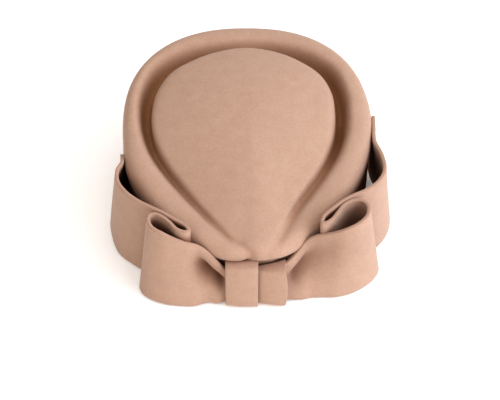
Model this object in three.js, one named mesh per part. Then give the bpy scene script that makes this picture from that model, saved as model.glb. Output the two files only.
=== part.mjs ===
// A blocked felt pillbox hat: a teardrop crown with a groove pressed round it, and a felt band
// on each side that stands off the wall, folds back on itself and meets in a bow at the back.
// Millimetres, +X to the wearer's right, +Y to the wearer's front, +Z up, the rim on z = 0.
import * as THREE from 'three';

// Crown
const crownWidth = 186;
const crownLength = 212;
const frontHeight = 90;
const middleHeight = 78.5;
const backHeight = 57;
const widestShare = 0.575;
const frontPower = 2.3;
const backPower = 2.0;
const felt = 2.8;
const edgeDrop = 9.5;
const domeRise = 14;
const grooveDepth = 13;
const grooveHalfWidth = 5.6;
const grooveSoftness = 2.3;

// Bands, bow and knot
const bandHeight = 70;
const bowReach = 34;
const dimpleDepth = 6;
const seat = 0.3;
const bandFoot = 1;
const strapWidth = 23.8;
const strapLap = 1.6;
const strapHeight = 41;
const strapFoot = 0.3;
const strapLoopDepth = 7.4;
const strapSink = 0.4;
const strapLean = 0.8;
const strapBow = 2.2;
const strapSquareness = 0.30;
const knotBearing = 5.5;
const dimpleSoftness = 1.5;

// How finely the faceted solids follow the curves
const crownSteps = 84;
const bandStepsPerRow = 2;
const bandLevels = 5;
const strapSteps = 30;
const strapStepsAcross = 4;
const grooveStepsPerRow = 8;
const solveSteps = 30;

const rad = THREE.MathUtils.degToRad;

// Sections of the crown, one row for each bearing in degrees round from the back, right side
// positive. crest, wall and rim are shares of the way from the middle to the outline, drop is the
// share of edgeDrop that the edge rounds over.
const sections = [
  { bearing: -180, crest: 0.900, drop: 1.00, wall: 0.985, rim: 0.955 },
  { bearing: -135, crest: 0.900, drop: 1.00, wall: 0.985, rim: 0.955 },
  { bearing: -90, crest: 0.905, drop: 1.00, wall: 0.990, rim: 0.955 },
  { bearing: -60, crest: 0.880, drop: 1.05, wall: 0.985, rim: 0.952 },
  { bearing: -38, crest: 0.870, drop: 1.05, wall: 0.970, rim: 0.947 },
  { bearing: -20, crest: 0.905, drop: 0.90, wall: 0.950, rim: 0.942 },
  { bearing: 5, crest: 0.930, drop: 0.85, wall: 0.943, rim: 0.940 },
  { bearing: 20, crest: 0.905, drop: 0.90, wall: 0.950, rim: 0.942 },
  { bearing: 38, crest: 0.870, drop: 1.05, wall: 0.970, rim: 0.947 },
  { bearing: 60, crest: 0.870, drop: 1.05, wall: 0.985, rim: 0.952 },
  { bearing: 90, crest: 0.895, drop: 1.00, wall: 0.990, rim: 0.955 },
  { bearing: 135, crest: 0.900, drop: 1.00, wall: 0.985, rim: 0.955 },
];

// The teardrop groove, once round from the back left over the front to the back right. x is a
// share of half the crown's width, y of its length from the widest line, depth of grooveDepth.
const groove = [
  { x: 0.075, y: -0.585, depth: 0.06 },
  { x: 0.000, y: -0.548, depth: 0.10 },
  { x: -0.135, y: -0.512, depth: 0.20 },
  { x: -0.258, y: -0.470, depth: 0.34 },
  { x: -0.396, y: -0.412, depth: 0.55 },
  { x: -0.528, y: -0.346, depth: 0.75 },
  { x: -0.664, y: -0.258, depth: 0.90 },
  { x: -0.768, y: -0.171, depth: 1.00 },
  { x: -0.826, y: -0.084, depth: 1.00 },
  { x: -0.838, y: 0.005, depth: 1.00 },
  { x: -0.803, y: 0.096, depth: 1.00 },
  { x: -0.700, y: 0.186, depth: 1.00 },
  { x: -0.500, y: 0.268, depth: 1.00 },
  { x: -0.262, y: 0.312, depth: 1.00 },
  { x: 0.000, y: 0.326, depth: 1.00 },
  { x: 0.262, y: 0.312, depth: 1.00 },
  { x: 0.486, y: 0.268, depth: 1.00 },
  { x: 0.672, y: 0.186, depth: 1.00 },
  { x: 0.757, y: 0.096, depth: 1.00 },
  { x: 0.768, y: 0.005, depth: 1.00 },
  { x: 0.734, y: -0.084, depth: 1.00 },
  { x: 0.667, y: -0.171, depth: 0.90 },
  { x: 0.572, y: -0.256, depth: 0.75 },
  { x: 0.448, y: -0.344, depth: 0.55 },
  { x: 0.364, y: -0.410, depth: 0.38 },
  { x: 0.300, y: -0.476, depth: 0.22 },
  { x: 0.290, y: -0.545, depth: 0.08 },
];

// Rows along each band, from its cut end at the side to the knot. bearing is degrees round from
// the back, layer is how many thicknesses of felt lie under it, out is the share of bowReach that
// it stands off, all at the top edge. lead and flare are what the foot adds to bearing and out.
// top and foot are shares of bandHeight, dimple a share of dimpleDepth.
const rightBand = [
  { bearing: 93.0, layer: 0, out: 0.00, lead: 10.0, flare: 0.01, top: 1.00, foot: 0.00, dimple: 0 },
  { bearing: 86.0, layer: 0, out: 0.00, lead: 8.5, flare: 0.08, top: 1.00, foot: 0.00, dimple: 0 },
  { bearing: 79.5, layer: 0, out: 0.09, lead: 6.5, flare: 0.25, top: 1.00, foot: 0.00, dimple: 0 },
  { bearing: 74.0, layer: 0, out: 0.31, lead: 4.5, flare: 0.22, top: 1.00, foot: 0.00, dimple: 0 },
  { bearing: 68.2, layer: 0, out: 0.48, lead: 2.5, flare: 0.10, top: 1.00, foot: 0.00, dimple: 0 },
  { bearing: 62.5, layer: 0, out: 0.45, lead: 1.5, flare: 0.05, top: 1.00, foot: 0.00, dimple: 0 },
  { bearing: 57.0, layer: 0, out: 0.32, lead: 1.0, flare: 0.02, top: 1.00, foot: 0.00, dimple: 0 },
  { bearing: 51.5, layer: 0, out: 0.14, lead: 0.5, flare: 0.08, top: 1.00, foot: 0.00, dimple: 0 },
  { bearing: 46.0, layer: 0, out: 0.04, lead: 0.0, flare: 0.10, top: 1.00, foot: 0.00, dimple: 0 },
  { bearing: 39.5, layer: 0, out: 0.01, lead: 0.0, flare: 0.09, top: 1.00, foot: 0.00, dimple: 0 },
  { bearing: 34.6, layer: 0, out: 0.05, lead: 0.0, flare: 0.07, top: 1.00, foot: 0.00, dimple: 0 },
  { bearing: 32.4, layer: 0.5, out: 0.13, lead: 0.0, flare: 0.06, top: 1.00, foot: 0.00, dimple: 0 },
  { bearing: 33.6, layer: 1, out: 0.17, lead: 0.2, flare: 0.05, top: 1.00, foot: 0.00, dimple: 0 },
  { bearing: 37.4, layer: 1, out: 0.20, lead: 0.3, flare: 0.05, top: 1.00, foot: 0.00, dimple: 0 },
  { bearing: 41.8, layer: 1, out: 0.14, lead: 0.8, flare: 0.12, top: 1.00, foot: 0.00, dimple: 0 },
  { bearing: 46.0, layer: 1, out: 0.12, lead: 1.2, flare: 0.15, top: 1.00, foot: 0.00, dimple: 0 },
  { bearing: 49.8, layer: 1, out: 0.17, lead: 2.4, flare: 0.17, top: 1.00, foot: 0.00, dimple: 0 },
  { bearing: 52.0, layer: 1, out: 0.31, lead: 3.6, flare: 0.21, top: 1.00, foot: 0.00, dimple: 0 },
  { bearing: 51.6, layer: 1, out: 0.49, lead: 3.6, flare: 0.22, top: 1.00, foot: 0.00, dimple: 0 },
  { bearing: 48.6, layer: 1, out: 0.63, lead: 1.8, flare: 0.13, top: 1.00, foot: 0.00, dimple: 0 },
  { bearing: 44.4, layer: 1, out: 0.64, lead: -1.2, flare: 0.02, top: 1.00, foot: 0.00, dimple: 0 },
  { bearing: 40.0, layer: 1, out: 0.54, lead: -3.0, flare: -0.06, top: 0.995, foot: 0.00, dimple: 0 },
  { bearing: 35.6, layer: 1, out: 0.36, lead: -3.2, flare: -0.06, top: 0.97, foot: 0.00, dimple: 0.30 },
  { bearing: 31.6, layer: 1, out: 0.22, lead: -3.0, flare: -0.04, top: 0.92, foot: 0.00, dimple: 0.75 },
  { bearing: 27.4, layer: 0, out: 0.14, lead: -2.4, flare: 0.06, top: 0.83, foot: 0.00, dimple: 1.05 },
  { bearing: 23.8, layer: 0, out: 0.03, lead: -1.4, flare: 0.05, top: 0.68, foot: 0.01, dimple: 0.90 },
  { bearing: 20.0, layer: 0, out: -0.04, lead: 0.0, flare: -0.03, top: 0.50, foot: 0.05, dimple: 0.00 },
  { bearing: 14.0, layer: 0, out: -0.05, lead: 0.0, flare: -0.035, top: 0.44, foot: 0.06, dimple: 0.00 },
  { bearing: 9.4, layer: 0, out: -0.05, lead: 0.0, flare: -0.035, top: 0.44, foot: 0.06, dimple: 0.00 },
];

const leftBand = [
  { bearing: 75.2, layer: 0, out: 0.00, lead: 13.0, flare: 0.01, top: 1.00, foot: 0.00, dimple: 0 },
  { bearing: 72.4, layer: 0, out: 0.01, lead: 12.0, flare: 0.10, top: 1.00, foot: 0.00, dimple: 0 },
  { bearing: 69.6, layer: 0, out: 0.10, lead: 10.5, flare: 0.17, top: 1.00, foot: 0.00, dimple: 0 },
  { bearing: 66.0, layer: 0, out: 0.25, lead: 9.0, flare: 0.13, top: 1.00, foot: 0.00, dimple: 0 },
  { bearing: 61.5, layer: 0, out: 0.34, lead: 7.0, flare: 0.09, top: 1.00, foot: 0.00, dimple: 0 },
  { bearing: 56.0, layer: 0, out: 0.30, lead: 4.0, flare: 0.14, top: 1.00, foot: 0.00, dimple: 0 },
  { bearing: 50.5, layer: 0, out: 0.23, lead: 2.4, flare: 0.09, top: 1.00, foot: 0.00, dimple: 0 },
  { bearing: 44.5, layer: 0, out: 0.12, lead: 1.2, flare: 0.08, top: 1.00, foot: 0.00, dimple: 0 },
  { bearing: 38.5, layer: 0, out: 0.03, lead: 0.2, flare: 0.09, top: 1.00, foot: 0.00, dimple: 0 },
  { bearing: 31.5, layer: 0, out: 0.00, lead: 0.0, flare: 0.08, top: 1.00, foot: 0.00, dimple: 0 },
  { bearing: 26.0, layer: 0, out: 0.01, lead: 0.0, flare: 0.07, top: 1.00, foot: 0.00, dimple: 0 },
  { bearing: 23.6, layer: 0.5, out: 0.05, lead: 0.0, flare: 0.07, top: 1.00, foot: 0.00, dimple: 0 },
  { bearing: 25.2, layer: 1, out: 0.10, lead: 0.0, flare: 0.07, top: 1.00, foot: 0.00, dimple: 0 },
  { bearing: 28.8, layer: 1, out: 0.13, lead: 0.2, flare: 0.08, top: 1.00, foot: 0.00, dimple: 0 },
  { bearing: 33.0, layer: 1, out: 0.06, lead: 1.2, flare: 0.15, top: 1.00, foot: 0.00, dimple: 0 },
  { bearing: 37.0, layer: 1, out: 0.03, lead: 1.9, flare: 0.19, top: 1.00, foot: 0.00, dimple: 0 },
  { bearing: 40.2, layer: 1, out: 0.07, lead: 2.0, flare: 0.25, top: 1.00, foot: 0.00, dimple: 0 },
  { bearing: 41.7, layer: 1, out: 0.19, lead: 2.2, flare: 0.28, top: 1.00, foot: 0.00, dimple: 0 },
  { bearing: 40.6, layer: 1, out: 0.33, lead: 2.0, flare: 0.24, top: 1.00, foot: 0.00, dimple: 0 },
  { bearing: 37.6, layer: 1, out: 0.41, lead: 1.6, flare: 0.20, top: 1.00, foot: 0.00, dimple: 0 },
  { bearing: 33.4, layer: 1, out: 0.38, lead: -0.8, flare: 0.13, top: 0.99, foot: 0.00, dimple: 0 },
  { bearing: 29.4, layer: 1, out: 0.28, lead: -2.8, flare: 0.07, top: 0.965, foot: 0.00, dimple: 0.05 },
  { bearing: 25.4, layer: 1, out: 0.16, lead: -3.8, flare: 0.05, top: 0.91, foot: 0.00, dimple: 0.60 },
  { bearing: 21.4, layer: 0, out: 0.12, lead: -2.8, flare: 0.05, top: 0.845, foot: 0.00, dimple: 1.10 },
  { bearing: 17.4, layer: 0, out: 0.03, lead: -1.8, flare: 0.06, top: 0.73, foot: 0.01, dimple: 1.05 },
  { bearing: 13.4, layer: 0, out: -0.02, lead: -0.8, flare: 0.02, top: 0.585, foot: 0.02, dimple: 0.70 },
  { bearing: 9.8, layer: 0, out: -0.05, lead: 0.0, flare: -0.03, top: 0.38, foot: 0.05, dimple: 0.03 },
  { bearing: 5.6, layer: 0, out: -0.05, lead: 0.0, flare: -0.035, top: 0.35, foot: 0.06, dimple: 0.00 },
  { bearing: 0.5, layer: 0, out: -0.05, lead: 0.0, flare: -0.035, top: 0.35, foot: 0.06, dimple: 0.00 },
];

const halfWidth = crownWidth / 2;
const backLength = crownLength * widestShare;
const frontLength = crownLength - backLength;

// The widest line round the crown at a bearing, from the middle: a half superellipse front and back
function outline(bearing) {
  const s = Math.sin(rad(bearing));
  const c = Math.cos(rad(bearing));
  const power = c > 0 ? backPower : frontPower;
  const k = (Math.abs(s) ** power + Math.abs(c) ** power) ** (-1 / power);
  return new THREE.Vector2(halfWidth * s * k, -(c > 0 ? backLength : frontLength) * c * k);
}

// How far back the outline reaches at a place across it
function backEdge(x) {
  return -backLength * (1 - Math.abs(x / halfWidth) ** backPower) ** (1 / backPower);
}

// Cubic between p1 and p2 whose slopes come from the rows beside them
function cubic(p0, p1, p2, p3, x0, x1, x2, x3, x) {
  const h = x2 - x1;
  const t = (x - x1) / h;
  const m1 = (h * (p2 - p0)) / (x2 - x0);
  const m2 = (h * (p3 - p1)) / (x3 - x1);
  const a = 2 * t ** 3 - 3 * t ** 2 + 1;
  const b = t ** 3 - 2 * t ** 2 + t;
  const d = t ** 3 - t ** 2;
  return a * p1 + b * m1 + (1 - a) * p2 + d * m2;
}

// A column of the sections table at any bearing, going round without a seam
function sectionAt(column, bearing) {
  const count = sections.length;
  const x = ((((bearing + 180) % 360) + 360) % 360) - 180;
  let i = count - 1;
  while (sections[i].bearing > x) i -= 1;
  const row = (k) => sections[(k + count) % count];
  const turn = (k) => row(k).bearing + 360 * Math.floor(k / count);
  return cubic(row(i - 1)[column], row(i)[column], row(i + 1)[column], row(i + 2)[column],
    turn(i - 1), turn(i), turn(i + 1), turn(i + 2), x);
}

// The height that the top slopes through from front to back, before the dome rises on it: a
// parabola through the three crest heights
const frontCrest = sectionAt('crest', 180) * frontLength;
const backCrest = sectionAt('crest', 0) * backLength;
function slopeHeight(y) {
  const front = (frontHeight - middleHeight) / frontCrest;
  const back = (middleHeight - backHeight) / backCrest;
  const bend = (front - back) / (frontCrest + backCrest);
  return middleHeight + (front - bend * frontCrest) * y + bend * y * y;
}

// Control points of the crown's section before the groove is pressed, from the rim over the edge
// to the top. On the wall, out is a share of the way from rim to wall and up a share of the height
// of the top. On the edge, out is a share of the way from wall to outline, and on the roll of the
// way from outline to crest, and below is how many drops of the edge lie above it
const wallPoints = [{ out: 0, up: 0 }, { out: 0.75, up: 0.12 }, { out: 1, up: 0.32 }];
const edgePoints = [
  { out: 0.04, below: 3.2 },
  { out: 0.30, below: 2.1 },
  { out: 1.00, below: 1.6 },
  { out: 1.00, below: 0.75 },
];
const rollPoints = [{ out: 0.32, below: 0.10 }, { out: 1.00, below: -0.08 }];
const innerShares = [0.80, 0.64, 0.48, 0.32, 0.16, 0];

function sectionPoints(bearing) {
  const [crest, wall, rim] = ['crest', 'wall', 'rim'].map((column) => sectionAt(column, bearing));
  const drop = edgeDrop * sectionAt('drop', bearing);
  const { y } = outline(bearing);
  const top = slopeHeight(y * crest);
  const between = THREE.MathUtils.lerp;
  return [
    ...wallPoints.map(({ out, up }) => [between(rim, wall, out), up * top]),
    ...edgePoints.map(({ out, below }) => [between(wall, 1, out), top - below * drop]),
    ...rollPoints.map(({ out, below }) => [between(1, crest, out), top - below * drop]),
    ...innerShares.map((share) => [share, slopeHeight(y * share)]),
  ];
}

// Uniform cubic B-spline of a control polygon, which starts on its first point and ends on its last
function spline(points, t) {
  const [x0, y0] = points[0];
  const [x1, y1] = points[1];
  const [xe, ye] = points[points.length - 2];
  const all = [[2 * x0 - x1, 2 * y0 - y1], ...points, [-xe, 2 * points[points.length - 1][1] - ye]];
  const spans = all.length - 3;
  const at = Math.min(Math.max(t, 0), 1) * spans;
  const i = Math.min(Math.floor(at), spans - 1);
  const f = at - i;
  const w = [(1 - f) ** 3 / 6, (3 * f ** 3 - 6 * f ** 2 + 4) / 6,
    (-3 * f ** 3 + 3 * f ** 2 + 3 * f + 1) / 6, f ** 3 / 6];
  return [0, 1].map((k) => w.reduce((sum, weight, j) => sum + weight * all[i + j][k], 0));
}

// The groove's line in plan with its depth, as a smooth closed run of points
const grooveLine = (() => {
  const line = [];
  const count = groove.length;
  const row = (k) => groove[(k + count) % count];
  for (let i = 0; i < count; i += 1) {
    for (let k = 0; k < grooveStepsPerRow; k += 1) {
      const at = (column) => cubic(row(i - 1)[column], row(i)[column], row(i + 1)[column],
        row(i + 2)[column], -1, 0, 1, 2, k / grooveStepsPerRow);
      line.push([at('x') * halfWidth, at('y') * crownLength, at('depth') * grooveDepth]);
    }
  }
  return line;
})();

// How deep the felt is pressed at a place in plan: the depth of the nearest point of the groove,
// falling off with distance to the power of its softness
function pressed(x, y) {
  let near = Infinity;
  let depth = 0;
  for (const [gx, gy, d] of grooveLine) {
    const distance = Math.hypot(x - gx, y - gy);
    if (distance < near) {
      near = distance;
      depth = d;
    }
  }
  return depth * Math.exp(-((near / grooveHalfWidth) ** grooveSoftness));
}

// Where the groove crosses the section at a bearing, as a share of the way to the outline
const grooveShares = grooveLine.map(([x, y]) => {
  const bearing = THREE.MathUtils.radToDeg(Math.atan2(x / halfWidth, -y / (y < 0 ? backLength : frontLength)));
  return [bearing, Math.hypot(x, y) / outline(bearing).length()];
}).sort((a, b) => a[0] - b[0]);

function grooveShare(bearing) {
  const after = grooveShares.findIndex(([b]) => b > bearing);
  if (after <= 0) return grooveShares[0][1];
  const [b0, s0] = grooveShares[after - 1];
  const [b1, s1] = grooveShares[after];
  return s0 + ((s1 - s0) * (bearing - b0)) / (b1 - b0);
}

// How far the dome rises at a share of the way out: a parabola from its middle to the groove
function risen(bearing, share) {
  return domeRise * Math.max(0, 1 - (share / grooveShare(bearing)) ** 2);
}

// Levels of the faceted section: up the wall and over the edge, then shares of the way from the
// crest to the groove, half widths of the groove inside it, and shares of the dome
const wallLevels = [0, 0.07, 0.14, 0.20, 0.26, 0.31, 0.355, 0.40, 0.44, 0.48, 0.52, 0.56];
const rollShares = [0.78, 0.52, 0.28, 0];
const grooveWidths = [0.35, 0.75, 1.2, 1.8];
const domeShares = [0.75, 0.5, 0.25];

function sectionLevels(bearing, points) {
  const crest = spline(points, wallLevels[wallLevels.length - 1])[0];
  const width = grooveHalfWidth / outline(bearing).length();
  const bottom = Math.min(grooveShare(bearing), crest - width);
  const shoulder = bottom - grooveWidths[grooveWidths.length - 1] * width;
  const shares = [
    ...rollShares.map((s) => bottom + s * (crest - bottom)),
    ...grooveWidths.map((s) => bottom - s * width),
    ...domeShares.map((s) => s * shoulder),
  ];
  const solved = shares.map((share) => {
    let low = wallLevels[wallLevels.length - 1];
    let high = 1;
    for (let i = 0; i < solveSteps; i += 1) {
      const t = (low + high) / 2;
      if (spline(points, t)[0] > share) low = t;
      else high = t;
    }
    return low;
  });
  return [...wallLevels, ...solved];
}

// The crown's face before the groove is pressed, and the top of the dome
function crownGrid() {
  const smooth = [];
  for (let i = 0; i < crownSteps; i += 1) {
    const bearing = (360 * i) / crownSteps - 180;
    const edge = outline(bearing);
    const points = sectionPoints(bearing);
    smooth.push(sectionLevels(bearing, points).map((t) => {
      const [share, z] = spline(points, t);
      return new THREE.Vector3(edge.x * share, edge.y * share, z + risen(bearing, share));
    }));
  }
  return { smooth, apex: new THREE.Vector3(0, 0, middleHeight + domeRise) };
}

// Outward unit normals of a grid that closes on itself in its first direction
function gridNormals(grid, top) {
  const count = grid.length;
  return grid.map((column, i) => column.map((p, k) => {
    const along = grid[(i + 1) % count][k].clone().sub(grid[(i - 1 + count) % count][k]);
    const above = k + 1 < column.length ? column[k + 1] : top;
    const across = above.clone().sub(column[Math.max(k - 1, 0)]);
    return along.cross(across).normalize();
  }));
}

function meshFrom(name, positions, triangles, material) {
  const geometry = new THREE.BufferGeometry();
  geometry.setAttribute('position', new THREE.Float32BufferAttribute(positions.flatMap((p) => [p.x, p.y, p.z]), 3));
  geometry.setIndex(triangles);
  geometry.computeVertexNormals();
  const mesh = new THREE.Mesh(geometry, material);
  mesh.name = name;
  return mesh;
}

// The crown: the pressed outer face, the same face moved in by the felt, and a flat ring under the rim
function crown(material) {
  const { smooth, apex } = crownGrid();
  const up = gridNormals(smooth, apex);
  const outer = smooth.map((column, i) => column.map((p, k) => (
    p.clone().addScaledVector(up[i][k], -pressed(p.x, p.y)))));
  const normals = gridNormals(outer, apex);
  const inner = outer.map((column, i) => column.map((p, k) => {
    const n = normals[i][k].clone();
    if (k === 0) n.z = 0;
    const q = p.clone().addScaledVector(n.normalize(), -felt);
    q.z = k === 0 ? 0 : q.z;
    return q;
  }));
  const rows = outer[0].length;
  const outerAt = (i, k) => (i % crownSteps) * rows + k;
  const innerAt = (i, k) => crownSteps * rows + (i % crownSteps) * rows + k;
  const outerTop = 2 * crownSteps * rows;
  const innerTop = outerTop + 1;
  const positions = [...outer.flat(), ...inner.flat(), apex, apex.clone().setZ(apex.z - felt)];
  const triangles = [];
  const quad = (a, b, c, d) => triangles.push(a, b, c, a, c, d);
  for (let i = 0; i < crownSteps; i += 1) {
    for (let k = 0; k + 1 < rows; k += 1) {
      quad(outerAt(i, k), outerAt(i + 1, k), outerAt(i + 1, k + 1), outerAt(i, k + 1));
      quad(innerAt(i, k), innerAt(i, k + 1), innerAt(i + 1, k + 1), innerAt(i + 1, k));
    }
    triangles.push(outerAt(i, rows - 1), outerAt(i + 1, rows - 1), outerTop);
    triangles.push(innerAt(i + 1, rows - 1), innerAt(i, rows - 1), innerTop);
    quad(outerAt(i, 0), innerAt(i, 0), innerAt(i + 1, 0), outerAt(i + 1, 0));
  }
  return meshFrom('crown', positions, triangles, material);
}

// A place that stands off the crown's outline at a bearing
function standOff(side, bearing, distance, z) {
  const edge = outline(bearing);
  const reach = edge.length();
  edge.multiplyScalar((reach + distance) / reach);
  return new THREE.Vector3(side * edge.x, edge.y, z);
}

// A column of a band's table at a place between its rows
function rowAt(table, column, at) {
  const last = table.length - 1;
  const i = Math.min(Math.floor(at), last - 1);
  const value = (k) => (k < 0 ? 2 * table[0][column] - table[1][column]
    : k > last ? 2 * table[last][column] - table[last - 1][column] : table[k][column]);
  return cubic(value(i - 1), value(i), value(i + 1), value(i + 2), -1, 0, 1, 2, at - i);
}

// The middle of a band's felt at a row and a share of its height. The foot leads and flares from
// the top edge, and near the knot the middle is pressed in by the dimple
function bandPoint(table, side, at, share) {
  const get = (column) => rowAt(table, column, at);
  const under = seat + felt / 2 + get('layer') * (felt + seat);
  const down = 1 - share;
  const bearing = get('bearing') + down * get('lead');
  const hollow = dimpleDepth * get('dimple') * Math.sin(Math.PI * share) ** dimpleSoftness;
  const distance = under + bowReach * (get('out') + down * get('flare')) - hollow;
  const foot = bandFoot + bandHeight * get('foot');
  const top = bandFoot + bandHeight * get('top');
  return standOff(side, bearing, distance, foot + share * (top - foot));
}

// A strip of felt: stations along it, each a closed loop up one face and down the other
function band(name, table, side, material) {
  const stations = (table.length - 1) * bandStepsPerRow + 1;
  const grid = [];
  for (let i = 0; i < stations; i += 1) {
    grid.push(Array.from({ length: bandLevels }, (_, k) => (
      bandPoint(table, side, i / bandStepsPerRow, k / (bandLevels - 1)))));
  }
  const loops = grid.map((column, i) => {
    const before = grid[Math.max(i - 1, 0)];
    const after = grid[Math.min(i + 1, stations - 1)];
    const normal = column.map((p, k) => {
      const along = after[k].clone().sub(before[k]);
      const across = column[Math.min(k + 1, bandLevels - 1)].clone().sub(column[Math.max(k - 1, 0)]);
      return along.cross(across).normalize().multiplyScalar(felt / 2);
    });
    const front = column.map((p, k) => p.clone().add(normal[k]));
    const back = column.map((p, k) => p.clone().sub(normal[k])).reverse();
    return [...front, ...back];
  });
  return loopSolid(name, loops, false, material);
}

// Joins a run of loops into one closed body, capped at its ends unless it closes on itself
function loopSolid(name, loops, ring, material) {
  const size = loops[0].length;
  const count = loops.length;
  const at = (i, k) => (i % count) * size + (k % size);
  const triangles = [];
  const tri = (a, b, c) => triangles.push(a, b, c);
  for (let i = 0; i < (ring ? count : count - 1); i += 1) {
    for (let k = 0; k < size; k += 1) {
      tri(at(i, k), at(i + 1, k), at(i + 1, k + 1));
      tri(at(i, k), at(i + 1, k + 1), at(i, k + 1));
    }
  }
  if (!ring) {
    const half = size / 2;
    for (let k = 0; k + 1 < half; k += 1) {
      const far = size - 1 - k;
      tri(at(0, k), at(0, k + 1), at(0, far - 1));
      tri(at(0, k), at(0, far - 1), at(0, far));
      const e = count - 1;
      tri(at(e, k + 1), at(e, k), at(e, far));
      tri(at(e, k + 1), at(e, far), at(e, far - 1));
    }
  }
  return meshFrom(name, loops.flat(), triangles, material);
}

const feltColour = new THREE.Color('#c49a82');
const feltOf = (name) => {
  const material = new THREE.MeshStandardMaterial({ color: feltColour, roughness: 0.95, metalness: 0 });
  material.name = name;
  return material;
};

// A strap of the knot: a flat ring of felt round the gathered bands, which lies at the back of
// the crown under the edge. Its loop in side view is a superellipse that leans out at the top and
// bows out along the middle of its face
function strap(name, left, right, material) {
  const loops = [];
  const middle = (left + right) / 2;
  const squared = (v) => Math.sign(v) * Math.abs(v) ** strapSquareness;
  for (let i = 0; i < strapSteps; i += 1) {
    const turn = (2 * Math.PI * i) / strapSteps;
    const forward = squared(Math.cos(turn));
    const upward = squared(Math.sin(turn));
    const point = (x, grow) => {
      const bulge = 1 - 2 * ((x - middle) / (right - left)) ** 2;
      const depth = forward * (strapLoopDepth / 2 + grow) + strapLean * upward
        + strapBow * Math.max(Math.cos(turn), 0) * bulge;
      const high = upward * ((strapHeight - felt) / 2 + grow);
      return new THREE.Vector3(x, backEdge(x) + strapSink - depth, strapFoot + strapHeight / 2 + high);
    };
    const places = Array.from({ length: strapStepsAcross + 1 }, (_, k) => (
      THREE.MathUtils.lerp(left, right, k / strapStepsAcross)));
    loops.push([...places.map((x) => point(x, felt / 2)), ...places.reverse().map((x) => point(x, -felt / 2))]);
  }
  return loopSolid(name, loops.reverse(), true, material);
}

const knotMiddle = outline(knotBearing).x;
const hat = new THREE.Group();
hat.add(crown(feltOf('crown_felt')));
hat.add(band('band_left', leftBand, -1, feltOf('band_felt')));
hat.add(band('band_right', rightBand, 1, feltOf('band_felt')));
hat.add(strap('knot_strap_left', knotMiddle - strapWidth, knotMiddle, feltOf('strap_felt')));
hat.add(strap('knot_strap_right', knotMiddle + seat, knotMiddle + strapWidth - strapLap, feltOf('strap_felt')));

// The origin is under the middle of the hat's box, on the plane that the rim rests on
const box = new THREE.Box3().setFromObject(hat);
hat.position.set(-(box.min.x + box.max.x) / 2, -(box.min.y + box.max.y) / 2, 0);

export default hat;
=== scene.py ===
"""A pillbox hat of beige wool felt, seen from behind and above.

The hat is one blocked crown with a teardrop groove pressed round its dome, a wide band of felt on
each side that stands off the wall and folds back into a bow, and two felt straps that hold the bow.

Every piece is a grid of points worked out from named sizes and short tables, in millimetres, in the
hat's own frame: x to the wearer's right, y to the front, z up, the rim on z = 0, and the widest line
of the crown over y = 0. The last step moves the points into the frame of the CAD model, in metres.
The crown's sections are B-splines between the rim and the top, the bands and the groove are cubics
through their tables' rows, and every cut edge of the felt is rounded over.
"""

import bpy
import numpy as np
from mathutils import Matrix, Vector


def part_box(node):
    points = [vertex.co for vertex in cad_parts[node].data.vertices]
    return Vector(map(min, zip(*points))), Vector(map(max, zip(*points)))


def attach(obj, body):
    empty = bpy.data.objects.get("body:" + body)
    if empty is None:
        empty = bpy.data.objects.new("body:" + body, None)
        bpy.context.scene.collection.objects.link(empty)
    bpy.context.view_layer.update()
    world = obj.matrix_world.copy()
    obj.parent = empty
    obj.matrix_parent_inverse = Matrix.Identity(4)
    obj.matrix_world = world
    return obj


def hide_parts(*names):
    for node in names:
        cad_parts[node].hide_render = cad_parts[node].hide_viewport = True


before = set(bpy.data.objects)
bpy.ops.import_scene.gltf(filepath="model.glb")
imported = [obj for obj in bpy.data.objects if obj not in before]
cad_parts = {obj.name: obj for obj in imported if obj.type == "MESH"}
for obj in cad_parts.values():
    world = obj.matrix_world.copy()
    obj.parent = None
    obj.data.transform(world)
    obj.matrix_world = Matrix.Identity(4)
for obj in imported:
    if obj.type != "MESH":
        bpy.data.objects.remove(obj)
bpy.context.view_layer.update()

MM = 0.001

# Crown, mm. WIDEST_SHARE is how much of its length lies behind its widest line, the powers are those
# of the two half superellipses that its outline follows, and EDGE_ROUND is how round a cut edge is.
CROWN_WIDTH = 186
CROWN_LENGTH = 212
FRONT_HEIGHT = 90
MIDDLE_HEIGHT = 78.5
BACK_HEIGHT = 57
WIDEST_SHARE = 0.575
FRONT_POWER = 2.3
BACK_POWER = 2.0
FELT = 2.8
EDGE_DROP = 9.5
DOME_RISE = 14
GROOVE_DEPTH = 15.5
EDGE_ROUND = 0.8

# The groove's and the dome's forms: how abruptly the groove's side falls away from the dome and from
# the roll, over how many degrees the dome's edge is evened out, and how soft that edge is
DOME_SIDE_POWER = 1.9
ROLL_SIDE_POWER = 1.8
DOME_EVENING = 2.667
DOME_SOFTNESS = 0.06

# Bands, bow and knot, mm. A strap's squareness is the power of its ring's superellipse, its flatness
# how much of the crown's curve its face leaves out, and KNOT_BEARING is in degrees.
BAND_HEIGHT = 70
BOW_REACH = 34
SEAT = 0.3
BAND_FOOT = 1
STRAP_WIDTH = 23.8
STRAP_HEIGHT = 41
STRAP_FOOT = 0.3
STRAP_LOOP_DEPTH = 7.4
STRAP_SINK = 0.4
STRAP_LEAN = 0.8
STRAP_BOW = 2.2
STRAP_SQUARENESS = 0.30
STRAP_FLATNESS = 0.9
KNOT_BEARING = 5.5

# Loose fibres of the felt: how long and wide, mm, the shortest and longest as shares of that, how
# far they lean from straight out and how many a piece has
FLUFF_LENGTH = 0.9
FLUFF_WIDTH = 0.06
FLUFF_RANGE = (0.4, 1.6)
FLUFF_LEAN = 0.9
FLUFF_SEED = 7
CROWN_FIBRES = 14000
BAND_FIBRES = 12000
STRAP_FIBRES = 2400

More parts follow.
